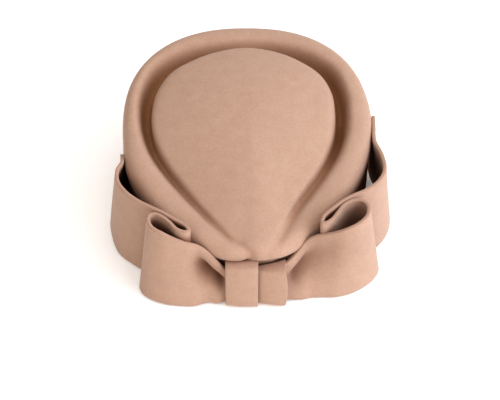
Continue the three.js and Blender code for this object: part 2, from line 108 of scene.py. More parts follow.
# How finely the surfaces are drawn. A row of a band's table is about BAND_ROW_LENGTH mm long.
CROWN_STEPS = 440
OUTER_LEVELS = 124
FINE_LEVELS = 300
INNER_LEVELS = 36
EVENING_STEPS = 17
GROOVE_STEPS_PER_ROW = 5
BAND_STEPS_PER_ROW = 14
BAND_ROW_LENGTH = 8
BAND_LEVELS = 36
STRAP_STEPS = 160
STRAP_LEVELS = 24

# How much closer together the crown's points lie in the groove, and over the edge, whose middle and
# half width are shares of the way out
GROOVE_CLOSENESS = 1.6
EDGE_CLOSENESS = 0.6
EDGE_SHARE = 0.98
EDGE_SPREAD = 0.05

# Camera, mm and degrees: what it looks at in the hat's own frame, how high and how far off it stands
# and the photo's scale there, over a picture as many pixels wide as the photo
LOOK_AT = (3, -50, 35)
CAMERA_ELEVATION = 45
CAMERA_DISTANCE = 1300
MM_PER_PIXEL = 0.748
PHOTO_WIDTH = 500
SENSOR_WIDTH = 36


def columns(names, rows):
    """A table's columns by name."""
    return dict(zip(names.split(), np.array(rows, float).T))


# Sections of the crown, one row for each bearing in degrees round from the back, right side
# positive. crest, wall and rim are shares of the way from the middle to the outline, drop is the
# share of EDGE_DROP that the edge rounds over.
SECTIONS = columns("bearing crest drop wall rim", [
    (-180, 0.900, 1.00, 0.985, 0.955),
    (-135, 0.900, 1.00, 0.985, 0.955),
    (-90, 0.905, 1.00, 0.990, 0.955),
    (-60, 0.880, 1.05, 0.985, 0.952),
    (-38, 0.870, 1.05, 0.970, 0.947),
    (-20, 0.905, 0.90, 0.950, 0.942),
    (5, 0.930, 0.85, 0.943, 0.940),
    (20, 0.905, 0.90, 0.950, 0.942),
    (38, 0.870, 1.05, 0.970, 0.947),
    (60, 0.870, 1.05, 0.985, 0.955),
    (90, 0.895, 1.00, 1.005, 0.985),
    (135, 0.900, 1.00, 0.985, 0.955),
])

# Painted shade between two layers of felt: the most, from how far down and over what reach, mm, on
# the right side, 1, and the left, -1. The first are for the bands' faces towards the crown, which are
# also the insides of the bow's loops, and the second for the crown's wall behind them.
PAINTED_LAYER_SHADES = {1: (0.3, 3.5, 6.0), -1: (0.7, 4.0, 3.0)}
PAINTED_WALL_SHADES = {1: (0.55, 0.0, 5.0), -1: (0.5, 0.0, 2.5)}

# The same painted shade inside the narrow fold of each band, and the fold's middle and reach in the
# band's rows
PAINTED_SLOT_SHADE = (0.95, 0.0, 1.5)
SLOT_ROW = 11
SLOT_ROWS = 2.8

# The most painted shade in the groove, and how far a cut edge shows on the faces beside it, mm
MOST_PAINTED_GROOVE_SHADE = 0.7
CUT_EDGE = 0.9

# Lobes of the roll, two that hang over the knot and one over the end of each band: bearing and half
# width in degrees, and how far each stands out, mm
LOBES = columns("bearing width out", [
    (-7.0, 5.0, 0.8),
    (13.5, 8.5, 3.2),
    (84.0, 20.0, 2.2),
    (-69.0, 8.0, 2.4),
])

# The teardrop groove, once round from above the knot over the left side, the front and the right
# side. x is a share of half the crown's width, y of its length from the widest line and depth of
# GROOVE_DEPTH. inner and outer are how far its sides reach towards the dome and the roll, mm.
GROOVE = columns("x y depth inner outer", [
    (0.058, -0.583, 0.11, 2.0, 2.6),
    (0.012, -0.567, 0.12, 1.9, 2.6),
    (-0.042, -0.548, 0.14, 1.9, 2.7),
    (-0.126, -0.528, 0.15, 1.7, 2.9),
    (-0.215, -0.484, 0.20, 1.6, 2.9),
    (-0.316, -0.433, 0.29, 1.6, 3.0),
    (-0.410, -0.381, 0.37, 1.6, 3.3),
    (-0.492, -0.334, 0.44, 1.8, 3.6),
    (-0.628, -0.248, 0.58, 1.9, 3.9),
    (-0.732, -0.165, 0.72, 2.3, 4.0),
    (-0.792, -0.082, 0.87, 2.6, 4.0),
    (-0.822, 0.004, 0.94, 4.0, 3.7),
    (-0.804, 0.100, 0.97, 5.4, 4.2),
    (-0.690, 0.200, 0.98, 5.8, 5.8),
    (-0.485, 0.263, 0.95, 5.0, 6.0),
    (-0.256, 0.302, 0.66, 4.0, 4.6),
    (0.000, 0.319, 0.44, 3.6, 3.8),
    (0.256, 0.304, 0.78, 4.2, 4.2),
    (0.478, 0.267, 0.92, 5.8, 4.0),
    (0.680, 0.196, 1.00, 6.2, 3.4),
    (0.774, 0.098, 1.00, 5.2, 2.8),
    (0.790, 0.004, 0.98, 4.7, 2.8),
    (0.766, -0.089, 0.88, 4.2, 3.3),
    (0.699, -0.177, 0.76, 3.4, 3.7),
    (0.597, -0.263, 0.58, 2.6, 3.6),
    (0.470, -0.349, 0.47, 2.2, 3.8),
    (0.376, -0.416, 0.32, 1.9, 3.8),
    (0.316, -0.473, 0.15, 2.3, 3.8),
    (0.262, -0.530, 0.10, 2.8, 4.0),
    (0.190, -0.575, 0.05, 3.0, 4.0),
    (0.110, -0.600, 0.07, 2.4, 3.2),
])

# Rows along each band, from its cut end at the side to the knot. bearing is degrees round from
# the back, layer is how many thicknesses of felt lie under it, out is the share of BOW_REACH that
# it stands off, all at the top edge. lead and flare are what the foot adds to bearing and out.
# top and foot are shares of BAND_HEIGHT.
BAND_COLUMNS = "bearing layer out lead flare top foot"
RIGHT_BAND = columns(BAND_COLUMNS, [
    (93.0, 0, 0.045, 10.0, 0.05, 0.99, 0.00),
    (86.0, 0, 0.04, 8.5, 0.08, 1.00, 0.00),
    (79.5, 0, 0.08, 6.5, 0.18, 1.00, 0.00),
    (74.0, 0, 0.29, 4.5, 0.20, 1.00, 0.00),
    (68.2, 0, 0.46, 2.5, 0.11, 1.00, 0.00),
    (62.5, 0, 0.45, 1.5, 0.05, 1.00, 0.00),
    (57.0, 0, 0.32, 1.0, 0.02, 1.00, 0.00),
    (51.5, 0, 0.14, 0.5, 0.08, 1.00, 0.00),
    (46.0, 0, 0.04, 0.0, 0.10, 1.00, 0.00),
    (39.5, 0, 0.01, 0.0, 0.09, 1.00, 0.00),
    (35.6, 0, 0.04, 0.0, 0.05, 1.00, 0.00),
    (33.6, 0.5, 0.10, 0.2, 0.00, 1.00, 0.00),
    (34.8, 1, 0.12, 0.4, -0.02, 1.00, 0.00),
    (38.0, 1, 0.13, 0.5, 0.01, 1.00, 0.00),
    (41.8, 1, 0.08, 0.8, 0.09, 1.00, 0.00),
    (46.0, 1, 0.05, 1.2, 0.13, 1.00, 0.00),
    (49.8, 1, 0.13, 2.4, 0.16, 1.00, 0.00),
    (52.0, 1, 0.29, 3.6, 0.21, 1.00, 0.00),
    (51.6, 1, 0.49, 3.6, 0.22, 1.00, 0.00),
    (48.6, 1, 0.63, 1.8, 0.13, 1.00, 0.00),
    (44.4, 1, 0.64, -1.2, 0.02, 1.00, 0.00),
    (40.0, 1, 0.54, -3.0, -0.06, 0.98, 0.00),
    (35.6, 1, 0.28, -3.2, 0.01, 0.895, 0.00),
    (31.2, 1, 0.02, -3.0, 0.13, 0.825, 0.00),
    (27.4, 0, -0.03, -2.4, 0.22, 0.735, 0.00),
    (23.8, 0, -0.05, -1.4, 0.18, 0.64, 0.00),
    (20.0, 0, -0.05, -0.4, 0.12, 0.555, 0.01),
    (14.6, 0, -0.04, 0.0, 0.04, 0.48, 0.02),
    (9.4, 0, -0.05, 0.0, -0.035, 0.44, 0.06),
])
LEFT_BAND = columns(BAND_COLUMNS, [
    (76.0, 0, 0.01, 16.0, -0.12, 0.89, 0.00),
    (72.6, 0, 0.04, 14.0, -0.10, 0.93, 0.00),
    (69.6, 0, 0.09, 11.5, 0.03, 0.97, 0.00),
    (66.0, 0, 0.26, 9.0, 0.08, 1.00, 0.00),
    (61.5, 0, 0.36, 7.0, 0.07, 1.00, 0.00),
    (56.0, 0, 0.335, 4.0, 0.14, 1.00, 0.00),
    (50.5, 0, 0.25, 2.4, 0.10, 1.00, 0.00),
    (44.5, 0, 0.13, 1.2, 0.08, 1.00, 0.00),
    (38.5, 0, 0.03, 0.2, 0.09, 1.00, 0.00),
    (31.5, 0, 0.00, 0.0, 0.08, 1.00, 0.00),
    (26.8, 0, 0.01, 0.0, 0.07, 1.00, 0.00),
    (24.6, 0.5, 0.05, 0.0, 0.07, 1.00, 0.00),
    (26.2, 1, 0.09, 0.0, 0.07, 1.00, 0.00),
    (29.6, 1, 0.11, 0.2, 0.09, 1.00, 0.00),
    (33.2, 1, 0.05, 1.2, 0.15, 1.00, 0.00),
    (37.0, 1, 0.03, 1.9, 0.19, 1.00, 0.00),
    (40.2, 1, 0.07, 2.0, 0.25, 1.00, 0.00),
    (41.7, 1, 0.19, 2.2, 0.28, 1.00, 0.00),
    (40.6, 1, 0.33, 2.0, 0.24, 1.00, 0.00),
    (37.6, 1, 0.41, 1.6, 0.20, 1.00, 0.00),
    (33.4, 1, 0.38, -0.8, 0.13, 0.99, 0.00),
    (29.4, 1, 0.28, -2.8, 0.07, 0.94, 0.00),
    (25.4, 1, 0.16, -3.8, 0.05, 0.885, 0.00),
    (21.4, 0, 0.10, -2.8, 0.06, 0.82, 0.00),
    (17.4, 0, 0.02, -1.8, 0.06, 0.74, 0.01),
    (13.4, 0, -0.02, -0.8, 0.07, 0.625, 0.00),
    (9.8, 0, -0.05, 0.0, 0.04, 0.51, 0.02),
    (5.6, 0, -0.05, 0.0, -0.035, 0.42, 0.06),
    (0.5, 0, -0.05, 0.0, -0.035, 0.35, 0.06),
])

# Where the bow is gathered in to the knot: places along a band's rows and up its height, how far
# each hollow reaches along and up, how deep it is, mm, and how much painted shade darkens it
HOLLOWS = columns("side row share rows shares depth shade", [
    (1, 25.6, 0.50, 1.2, 0.18, 6.5, 0.26),
    (1, 24.1, 0.61, 1.2, 0.17, 5.0, 0.26),
    (1, 22.6, 0.73, 1.3, 0.17, 2.0, 0.06),
    (1, 22.0, 0.66, 2.6, 0.30, 0.0, 0.12),
    (-1, 25.6, 0.52, 1.0, 0.18, 7.0, 0.45),
    (-1, 24.4, 0.55, 1.1, 0.18, 4.5, 0.52),
    (-1, 23.2, 0.60, 1.0, 0.19, 6.5, 0.52),
])

# Below what height the crown's wall lies behind the bands, mm, by bearing. Painted shade darkens
# the wall below it.
HIDDEN = columns("bearing top", [
    (-92, 0), (-84, 28), (-80, 38), (-69, 46), (-56, 54), (-44, 54), (-36, 50), (-22, 43),
    (22, 37), (28, 45), (36, 50), (60, 62), (80, 69), (88, 66), (97, 0),
])

# The knot's two straps. left and width are shares of STRAP_WIDTH, left from the middle of the knot,
# and height a share of STRAP_HEIGHT. rise is how much taller the right edge is than the left, mm,
# lift how far each edge of the face stands out, mm, and pinch the share of the width that it loses
# at top and foot.
STRAP_NAMES = ("left", "right")
STRAPS = columns("left width height rise lift_left lift_right pinch", [
    (-1.000, 1.000, 1.03, 2.6, 0.0, 1.6, 0.00),
    (-0.060, 0.960, 0.90, 2.4, -3.0, 1.4, 0.07),
])

HALF_WIDTH = CROWN_WIDTH / 2
BACK_LENGTH = CROWN_LENGTH * WIDEST_SHARE
FRONT_LENGTH = CROWN_LENGTH - BACK_LENGTH


# Curves

def through(knots, values, x):
    """Cubic through a table's rows, whose slope at a row comes from the rows beside it."""
    i = np.clip(np.searchsorted(knots, x, side="right") - 1, 1, len(knots) - 3)
    x0, x1, x2, x3 = (knots[i + k] for k in (-1, 0, 1, 2))
    p0, p1, p2, p3 = (values[i + k] for k in (-1, 0, 1, 2))
    step = x2 - x1
    t = (x - x1) / step
    slope1 = step * (p2 - p0) / (x2 - x0)
    slope2 = step * (p3 - p1) / (x3 - x1)
    near = 2 * t**3 - 3 * t**2 + 1
    return (near * p1 + (t**3 - 2 * t**2 + t) * slope1
            + (1 - near) * p2 + (t**3 - t**2) * slope2)


def section_at(name, bearing):
    """A column of the sections at any bearing, by the same cubic, going round without a seam."""
    knots = np.concatenate([SECTIONS["bearing"] + turn for turn in (-360, 0, 360)])
    return through(knots, np.tile(SECTIONS[name], 3), bearing)


def row_at(table, name, at):
    """A column of a band's table at a place between its rows, straight on past its ends."""
    column = table[name]
    values = np.concatenate([[2 * column[0] - column[1]], column, [2 * column[-1] - column[-2]]])
    return through(np.arange(-1, len(column) + 1.0), values, at)


def outline(bearing):
    """The widest line round the crown at a bearing: a half superellipse front and back."""
    s, c = np.sin(np.radians(bearing)), np.cos(np.radians(bearing))
    back = c > 0
    power = np.where(back, BACK_POWER, FRONT_POWER)
    k = (np.abs(s) ** power + np.abs(c) ** power) ** (-1 / power)
    length = np.where(back, BACK_LENGTH, FRONT_LENGTH)
    return np.stack([HALF_WIDTH * s * k, -length * c * k], -1)


def back_edge(x):
    """How far back the outline reaches at a place across it: its back superellipse solved for y."""
    return -BACK_LENGTH * (1 - np.abs(x / HALF_WIDTH) ** BACK_POWER) ** (1 / BACK_POWER)


def spline(points, t):
    """Uniform cubic B-splines, a control polygon in each row of points and its places in t. Each
    starts on its first point and ends beside its last but one."""
    before = 2 * points[:, :1] - points[:, 1:2]
    polygon = np.concatenate([before, points], 1)
    spans = polygon.shape[1] - 3
    at = np.clip(t, 0, 1) * spans
    i = np.minimum(at.astype(int), spans - 1)
    f = (at - i)[..., None]
    weights = ((1 - f) ** 3, 3 * f**3 - 6 * f**2 + 4, -3 * f**3 + 3 * f**2 + 3 * f + 1, f**3)
    row = np.arange(len(points))[:, None]
    return sum(w / 6 * polygon[row, i + k] for k, w in enumerate(weights))


# The crown

def slope_height(y):
    """The height that the top slopes through before the dome rises on it: a parabola through the
    heights of the crest at the front, the middle and the back."""
    front_crest = section_at("crest", np.array([180.0]))[0] * FRONT_LENGTH
    back_crest = section_at("crest", np.array([0.0]))[0] * BACK_LENGTH
    front = (FRONT_HEIGHT - MIDDLE_HEIGHT) / front_crest
    back = (MIDDLE_HEIGHT - BACK_HEIGHT) / back_crest
    bend = (front - back) / (front_crest + back_crest)
    return MIDDLE_HEIGHT + (front - bend * front_crest) * y + bend * y**2


# Control points of a section: up the wall, over the edge and down the roll, as in the CAD model
WALL_POINTS = ((0, 0), (0.75, 0.12), (1, 0.32))
EDGE_POINTS = ((0.04, 3.2), (0.30, 2.1), (1.00, 1.6), (1.00, 0.75))
ROLL_POINTS = ((0.32, 0.10), (1.00, -0.08))
INNER_SHARES = (0.80, 0.64, 0.48, 0.32, 0.16, 0, -0.16)


def section_points(bearing):
    """Control polygons of the crown's sections before the groove is pressed: share of the way to
    the outline, which bell curves push out at the lobes, and height. Each runs on a little past
    the middle, as the section opposite."""
    crest, wall, rim, drop = (section_at(name, bearing) for name in ("crest", "wall", "rim", "drop"))
    drop = EDGE_DROP * drop
    edge = outline(bearing)
    y = edge[:, 1]
    top = slope_height(y * crest)
    off = (bearing[:, None] - LOBES["bearing"]) / LOBES["width"]
    widest = 1 + (LOBES["out"] * np.exp(-off**2)).sum(1) / np.hypot(*edge.T)
    points = [(rim + out * (wall - rim), up * top) for out, up in WALL_POINTS]
    points += [(wall + out * (widest - wall), top - below * drop) for out, below in EDGE_POINTS]
    points += [(widest + out * (crest - widest), top - below * drop) for out, below in ROLL_POINTS]
    points += [(share + 0 * y, slope_height(y * share)) for share in INNER_SHARES]
    return np.stack([np.stack(p, -1) for p in points], 1)


BEARINGS = np.arange(CROWN_STEPS) * 360 / CROWN_STEPS - 180


def groove_line():
    """The groove's line in plan with its depth and its reach to each side: cubics through its
    table's rows, as a closed run."""
    count = len(GROOVE["x"])
    knots = np.arange(-2, count + 2.0)
    at = np.arange(0, count, 1 / GROOVE_STEPS_PER_ROW)
    across = [through(knots, np.take(GROOVE[name], knots.astype(int), mode="wrap"), at)
              for name in ("x", "y", "depth", "inner", "outer")]
    return np.stack(across, -1) * (HALF_WIDTH, CROWN_LENGTH, GROOVE_DEPTH, 1, 1)


LINE = groove_line()


def groove_share(bearing):
    """Where the groove crosses the section at a bearing, as a share of the way to the outline,
    evened out by a bell curve so that the dome has no crease where the groove turns sharply."""
    x, y = LINE[:, 0], LINE[:, 1]
    turn = np.degrees(np.arctan2(x / HALF_WIDTH, -y / np.where(y < 0, BACK_LENGTH, FRONT_LENGTH)))
    share = np.hypot(x, y) / np.hypot(*outline(turn).T)
    order = np.argsort(turn)
    spread = np.linspace(-3, 3, EVENING_STEPS)
    weight = np.exp(-spread**2 / 2)
    near = bearing[:, None] + spread * DOME_EVENING
    around = np.interp(near, turn[order], share[order], period=360)
    return (around * weight).sum(1) / weight.sum()


def pressed(x, y, under):
    """How deep the felt is pressed: from the nearest stretch of the groove's line it falls away as
    exp(-(distance / reach) ** power), with a reach and a power for each side."""
    nearest = np.full(x.shape, np.inf)
    inside = np.zeros(x.shape, bool)
    along = np.ones((3, *x.shape))
    for a, b in zip(LINE, np.roll(LINE, -1, 0)):
        dx, dy = b[:2] - a[:2]
        t = np.clip(((x - a[0]) * dx + (y - a[1]) * dy) / (dx * dx + dy * dy), 0, 1)
        off_x, off_y = x - a[0] - t * dx, y - a[1] - t * dy
        distance = np.hypot(off_x, off_y)
        nearer = distance < nearest
        nearest[nearer] = distance[nearer]
        inside[nearer] = (dx * off_y - dy * off_x < 0)[nearer]
        along[:, nearer] = a[2:, None] + t[nearer] * (b - a)[2:, None]
    depth, inner, outer = along
    dome_side = np.exp(-(nearest / (inner + under)) ** DOME_SIDE_POWER)
    roll_side = np.exp(-(nearest / (outer + under)) ** ROLL_SIDE_POWER)
    return depth * np.where(inside, dome_side, roll_side)


def grid_normals(grid, ring):
    """Unit normals of a grid of points, the cross product of its steps along and across. It closes
    on itself in its first direction if it is a ring."""
    if ring:
        along = np.roll(grid, -1, 0) - np.roll(grid, 1, 0)
    else:
        along = np.gradient(grid, axis=0)
    across = np.gradient(grid, axis=1)
    normal = np.cross(along, across)
    return normal / np.maximum(np.linalg.norm(normal, axis=-1, keepdims=True), 1e-9)


def crown_face(levels, under):
    """A face of the crown, from rim to the middle of the dome, and how much painted shade it takes
    in the groove.
    The dome is a paraboloid inside the groove's line that eases out to nothing past it. Each
    section is first followed finely, then drawn with its points closest together where it is
    pressed or bends over. under is how far below the outer face it lies, where the groove is
    wider by that much too, so that the wall stays as thick down the groove's sides."""
    edge = outline(BEARINGS)
    t = np.tile(np.linspace(0, 1, FINE_LEVELS), (CROWN_STEPS, 1))
    share, z = np.moveaxis(spline(section_points(BEARINGS), t), -1, 0)
    inside = 1 - (share / groove_share(BEARINGS)[:, None]) ** 2
    rise = DOME_RISE * (inside + np.hypot(inside, DOME_SOFTNESS)) / (1 + np.hypot(1, DOME_SOFTNESS))
    smooth = np.stack([edge[:, :1] * share, edge[:, 1:] * share, z + rise], -1)
    press = pressed(smooth[..., 0], smooth[..., 1], under)
    fine = smooth - grid_normals(smooth, True) * (press + under)[..., None]
    length = np.linalg.norm(np.diff(fine, axis=1), axis=-1)
    pressing = press / GROOVE_DEPTH
    over_edge = np.exp(-((share[:, 1:] - EDGE_SHARE) / EDGE_SPREAD) ** 2)
    weight = length * (1 + GROOVE_CLOSENESS * pressing[:, 1:] + EDGE_CLOSENESS * over_edge)
    run = np.concatenate([np.zeros((CROWN_STEPS, 1)), np.cumsum(weight, 1)], 1)
    # Painted shade in the groove, darker the deeper the felt is pressed
    followed = np.concatenate([fine, MOST_PAINTED_GROOVE_SHADE * pressing[..., None]], -1)
    drawn = [[np.interp(np.linspace(0, r[-1], levels + 1)[:-1], r, column) for column in section.T]
             for r, section in zip(run, followed)]
    return np.moveaxis(np.array(drawn), 1, -1)


def painted_shade_at(distance, shade):
    """How much painted shade the felt takes at a distance down between two layers of it: nothing as
    far as the start, then closing in on the most by 1 - exp(-further / reach)."""
    most, start, reach = shade
    return most * (1 - np.exp(-np.maximum(distance - start, 0) / reach))


def crown_shell():
    """The crown's whole section for each bearing: down the outer face, round the cut rim and up
    the inner face, each point with how much painted shade it takes in the groove and on the wall
    behind the bands. The rim's corners are quarter circles."""
    outer = crown_face(OUTER_LEVELS, 0)
    inner = crown_face(INNER_LEVELS, FELT)
    # Painted shade on the crown's wall below where the bands stand before it
    hidden = np.interp(BEARINGS, HIDDEN["bearing"], HIDDEN["top"])[:, None] - outer[..., 2]
    right = BEARINGS[:, None] > 0
    painted_layer_shade = np.where(right, painted_shade_at(hidden, PAINTED_WALL_SHADES[1]), painted_shade_at(hidden, PAINTED_WALL_SHADES[-1]))
    outer = np.concatenate([outer, painted_layer_shade[..., None]], -1)
    inner = np.concatenate([inner, 0 * inner[..., :1]], -1)
    flat = grid_normals(outer[..., :3], True)[:, 0] * (1, 1, 0)
    flat /= np.linalg.norm(flat, axis=-1, keepdims=True)
    corner = np.radians([15, 45, 75, 90])
    arc = [(EDGE_ROUND * (1 - np.cos(a)), EDGE_ROUND * (1 - np.sin(a))) for a in corner]
    rim = arc + [(FELT - inset, height) for inset, height in reversed(arc)]
    foot = outer[:, 0, :3] * (1, 1, 0)
    rings = np.zeros((CROWN_STEPS, len(rim), 5))
    for k, (inset, height) in enumerate(rim):
        rings[:, k, :3] = foot - inset * flat + (0, 0, height)
    start = np.searchsorted(outer[0, :, 2], EDGE_ROUND) + 1
    keep = inner[:, :, 2].min(0) > EDGE_ROUND
    return np.concatenate([outer[:, :start - 1:-1], rings, inner[:, keep]], 1)


# The bands

def stand_off(side, bearing, distance, z):
    """A place that stands off the crown's outline at a bearing, straight out from the middle."""
    edge = outline(bearing)
    reach = np.hypot(edge[..., 0], edge[..., 1])
    edge = edge * ((reach + distance) / reach)[..., None]
    return np.stack([side * edge[..., 0], edge[..., 1], z], -1)


def hollowed(side, at, share, name="depth"):
    """A column of the hollows, each a bell curve along a band's rows and up its height, summed."""
    mine = {key: column[HOLLOWS["side"] == side] for key, column in HOLLOWS.items()}
    along = (at[..., None] - mine["row"]) / mine["rows"]
    up = (share[..., None] - mine["share"]) / mine["shares"]
    return (mine[name] * np.exp(-along**2 - up**2)).sum(-1)


def band_middle(table, side, at, share):
    """The middle of a band's felt at its rows and at shares of its height, which runs straight
    from the top edge to where the foot's lead and flare put it."""
    def get(name):
        return row_at(table, name, at)

    under = SEAT + FELT / 2 + get("layer") * (FELT + SEAT)
    down = 1 - share
    distance = under + BOW_REACH * (get("out") + down * get("flare")) - hollowed(side, at, share)
    foot = BAND_FOOT + BAND_HEIGHT * get("foot")
    top = BAND_FOOT + BAND_HEIGHT * get("top")
    return stand_off(side, get("bearing") + down * get("lead"), distance, foot + share * (top - foot))


def worn(distance):
    """How far a face of the felt has rounded over at a distance from its cut edge: a quarter circle
    of radius EDGE_ROUND."""
    near = np.clip(EDGE_ROUND - distance, 0, EDGE_ROUND)
    return EDGE_ROUND - np.sqrt(EDGE_ROUND**2 - near**2)


def frayed(distance):
    """How much of the felt's cut edge shows at a distance from it: a bell curve, 1 at the edge."""
    return np.exp(-(distance / CUT_EDGE) ** 2)


def crowded(count, length):
    """Places from 0 to 1 along a length in mm, evenly spread but for three more near each end,
    which draw the rounded edge."""
    edge = EDGE_ROUND / length
    return np.concatenate([[0, 0.15 * edge, 0.5 * edge], np.linspace(edge, 1 - edge, count),
                           [1 - 0.5 * edge, 1 - 0.15 * edge, 1]])


def band_loops(table, side):
    """Closed loops up one face of the band and down the other, one at each station along it, and
    the band's length. Each face lies half a felt's thickness off the middle along its normal."""
    rows = len(table["bearing"]) - 1
    share = crowded(BAND_LEVELS, BAND_HEIGHT)
    at = crowded(rows * BAND_STEPS_PER_ROW + 1, rows * BAND_ROW_LENGTH) * rows
    middle = band_middle(table, side, at[:, None], share[None, :])
    normal = grid_normals(middle, False)
    along = np.linalg.norm(np.diff(middle, axis=0), axis=-1).mean(1)
    run = np.concatenate([[0], np.cumsum(along)])
    height = np.linalg.norm(np.diff(middle, axis=1), axis=-1).sum(1)[:, None]
    to_edge = np.minimum(share, 1 - share) * height
    to_end = np.minimum(run, run[-1] - run)[:, None]
    half = FELT / 2 - np.maximum(worn(to_edge), worn(to_end))
    offset = normal * half[..., None]
    cut = frayed(np.minimum(to_edge, to_end))
    # Painted shade in the bow's hollows, on the faces towards the crown and inside the narrow fold
    hollow_painted_shade = hollowed(side, at[:, None], share[None, :], "shade")
    down = (1 - share) * height
    inner_painted_shade = painted_shade_at(down, PAINTED_LAYER_SHADES[side])
    slot_painted_shade = np.exp(-((at - SLOT_ROW) / SLOT_ROWS) ** 4)[:, None] * painted_shade_at(down, PAINTED_SLOT_SHADE)
    faces = []
    for way in (1, -1):
        painted_layer_shade = np.maximum(hollow_painted_shade, inner_painted_shade if way == side else slot_painted_shade)
        faces.append(np.concatenate([middle + way * offset, np.stack([cut, 0 * cut, painted_layer_shade], -1)], -1))
    return np.concatenate([faces[0], faces[1][:, ::-1]], 1), run[-1]


# The knot's straps

KNOT_X = outline(np.array(KNOT_BEARING))[0]


def strap_loops(name):
    """Closed loops across a strap, one at each station round its ring. The ring in side view is a
    superellipse that leans out at the top and bows out along the middle of its face. Its back
    follows the crown, its face lies flat across the knot."""
    strap = {key: column[STRAP_NAMES.index(name)] for key, column in STRAPS.items()}
    left, width = KNOT_X + strap["left"] * STRAP_WIDTH, strap["width"] * STRAP_WIDTH
    share = crowded(STRAP_LEVELS, width)
    height = strap["height"] * STRAP_HEIGHT + strap["rise"] * (share - 0.5)
    bulge = 1 - 2 * (share - 0.5) ** 2
    turn = np.arange(STRAP_STEPS) * 2 * np.pi / STRAP_STEPS

    def squared(v):
        return np.sign(v) * np.abs(v) ** STRAP_SQUARENESS

    forward, upward = squared(np.cos(turn))[:, None], squared(np.sin(turn))[:, None]
    facing = np.maximum(np.cos(turn), 0)[:, None]
    front = (forward + 1) / 2
    x = left + share * width * (1 - strap["pinch"] * upward**2)
    lift = strap["lift_left"] + share * (strap["lift_right"] - strap["lift_left"])
    half = FELT / 2 - worn(np.minimum(share, 1 - share) * width)
    faces = []
    for grow in (half, -half):
        depth = forward * (STRAP_LOOP_DEPTH / 2 + grow) + STRAP_LEAN * upward + STRAP_BOW * facing * bulge
        high = upward * ((height - FELT) / 2 + grow)
        level = back_edge(x) + (back_edge(KNOT_X) - back_edge(x)) * STRAP_FLATNESS * front
        y = level + STRAP_SINK - depth - lift * front
        cut = frayed(np.minimum(share, 1 - share) * width)
        faces.append(np.stack([x, y, STRAP_FOOT + height / 2 + high, cut + 0 * y, 0 * y, 0 * y], -1))
    return np.concatenate([faces[0], faces[1][:, ::-1]], 1)


# Meshes

def place(points):
    """From the hat's own frame in mm to the CAD model's in metres."""
    return (points + SHIFT) * MM


def fluff(points, faces, count):
    """Points and faces of loose fibres that stand up a little from the felt. Each is a ribbon with a
    bend in it, from a place picked at random on a face of four, whose shades it takes. It starts
    along the face's normal with a random step added, and after the bend with another."""
    chance = np.random.default_rng(FLUFF_SEED)
    corners = points[faces[chance.integers(len(faces), size=count)]]
    weight = chance.dirichlet(np.ones(4), count)[..., None]
    root = (corners * weight).sum(1)
    normal = np.cross(corners[:, 2, :3] - corners[:, 0, :3], corners[:, 3, :3] - corners[:, 1, :3])
    normal /= np.maximum(np.linalg.norm(normal, axis=-1, keepdims=True), 1e-9)
    ways = chance.normal(size=(3, count, 3))
    length = FLUFF_LENGTH * chance.uniform(*FLUFF_RANGE, (count, 1))
    first = normal + FLUFF_LEAN * ways[0]
    second = first + FLUFF_LEAN * ways[1]
    across = np.cross(first, ways[2])
    first, second, across = (way / np.linalg.norm(way, axis=-1, keepdims=True)
                             for way in (first, second, across))
    across *= FLUFF_WIDTH / 2
    low, shades = root[:, :3], root[:, None, 3:]
    bend = low + first * length / 2
    tip = bend + second * length / 2
    places = np.stack([low - across, low + across, bend + across, bend - across, tip], 1)
    places[..., 2] = np.maximum(places[..., 2], FLUFF_WIDTH)
    each = places.shape[1]
    loose = np.concatenate([places, np.repeat(shades, each, axis=1)], -1)
    start = len(points) + each * np.arange(count)[:, None]
    ribbons = (start + [0, 1, 2, 3]).tolist() + (start + [3, 2, 4]).tolist()
    return loose.reshape(-1, points.shape[1]), ribbons


def mesh_object(name, points, faces, fibres):
    """A smooth piece of felt from points in the hat's frame and its faces, with its fluff. The
    points' last three columns are how much of the cut edge shows there, how much painted shade it
    takes in the groove and how much painted shade between layers."""
    loose, ribbons = fluff(points, np.array([face for face in faces if len(face) == 4]), fibres)
    points = np.concatenate([points, loose])
    mesh = bpy.data.meshes.new(name)
    mesh.from_pydata(place(points[:, :3]), [], list(faces) + ribbons)
    mesh.polygons.foreach_set("use_smooth", np.ones(len(mesh.polygons), bool))
    for label, column in (("cut", 3), ("painted_groove_shade", 4), ("painted_layer_shade", 5)):
        layer = mesh.attributes.new(label, "FLOAT", "POINT")
        layer.data.foreach_set("value", points[:, column].astype(np.float32))
    mesh.update()
    piece = bpy.data.objects.new(name, mesh)
    bpy.context.scene.collection.objects.link(piece)
    return piece


def quads(count, size, ring, wrap):
    """Faces of a grid of count loops of size points. As a ring its last loop joins its first, and
    with wrap so do the points of each loop."""
    i = np.arange(count if ring else count - 1)[:, None]
    k = np.arange(size if wrap else size - 1)[None, :]
    after, beside = (i + 1) % count, (k + 1) % size
    return np.stack([i * size + k, after * size + k, after * size + beside, i * size + beside],
                    -1).reshape(-1, 4)


def loop_object(name, loops, ring, fibres, flip=False):
    """A closed piece from a run of loops, capped at its ends unless it closes on itself."""
    count, size = loops.shape[:2]
    faces = quads(count, size, ring, True)
    caps = []
    if not ring:
        k = np.arange(size // 2 - 1)
        cap = np.stack([k, k + 1, size - 2 - k, size - 1 - k], -1)
        caps = [cap, (cap + (count - 1) * size)[:, ::-1]]
    faces = np.concatenate([faces, *caps])
    if flip:
        faces = faces[:, ::-1]
    return mesh_object(name, loops.reshape(-1, 6), faces.tolist(), fibres)


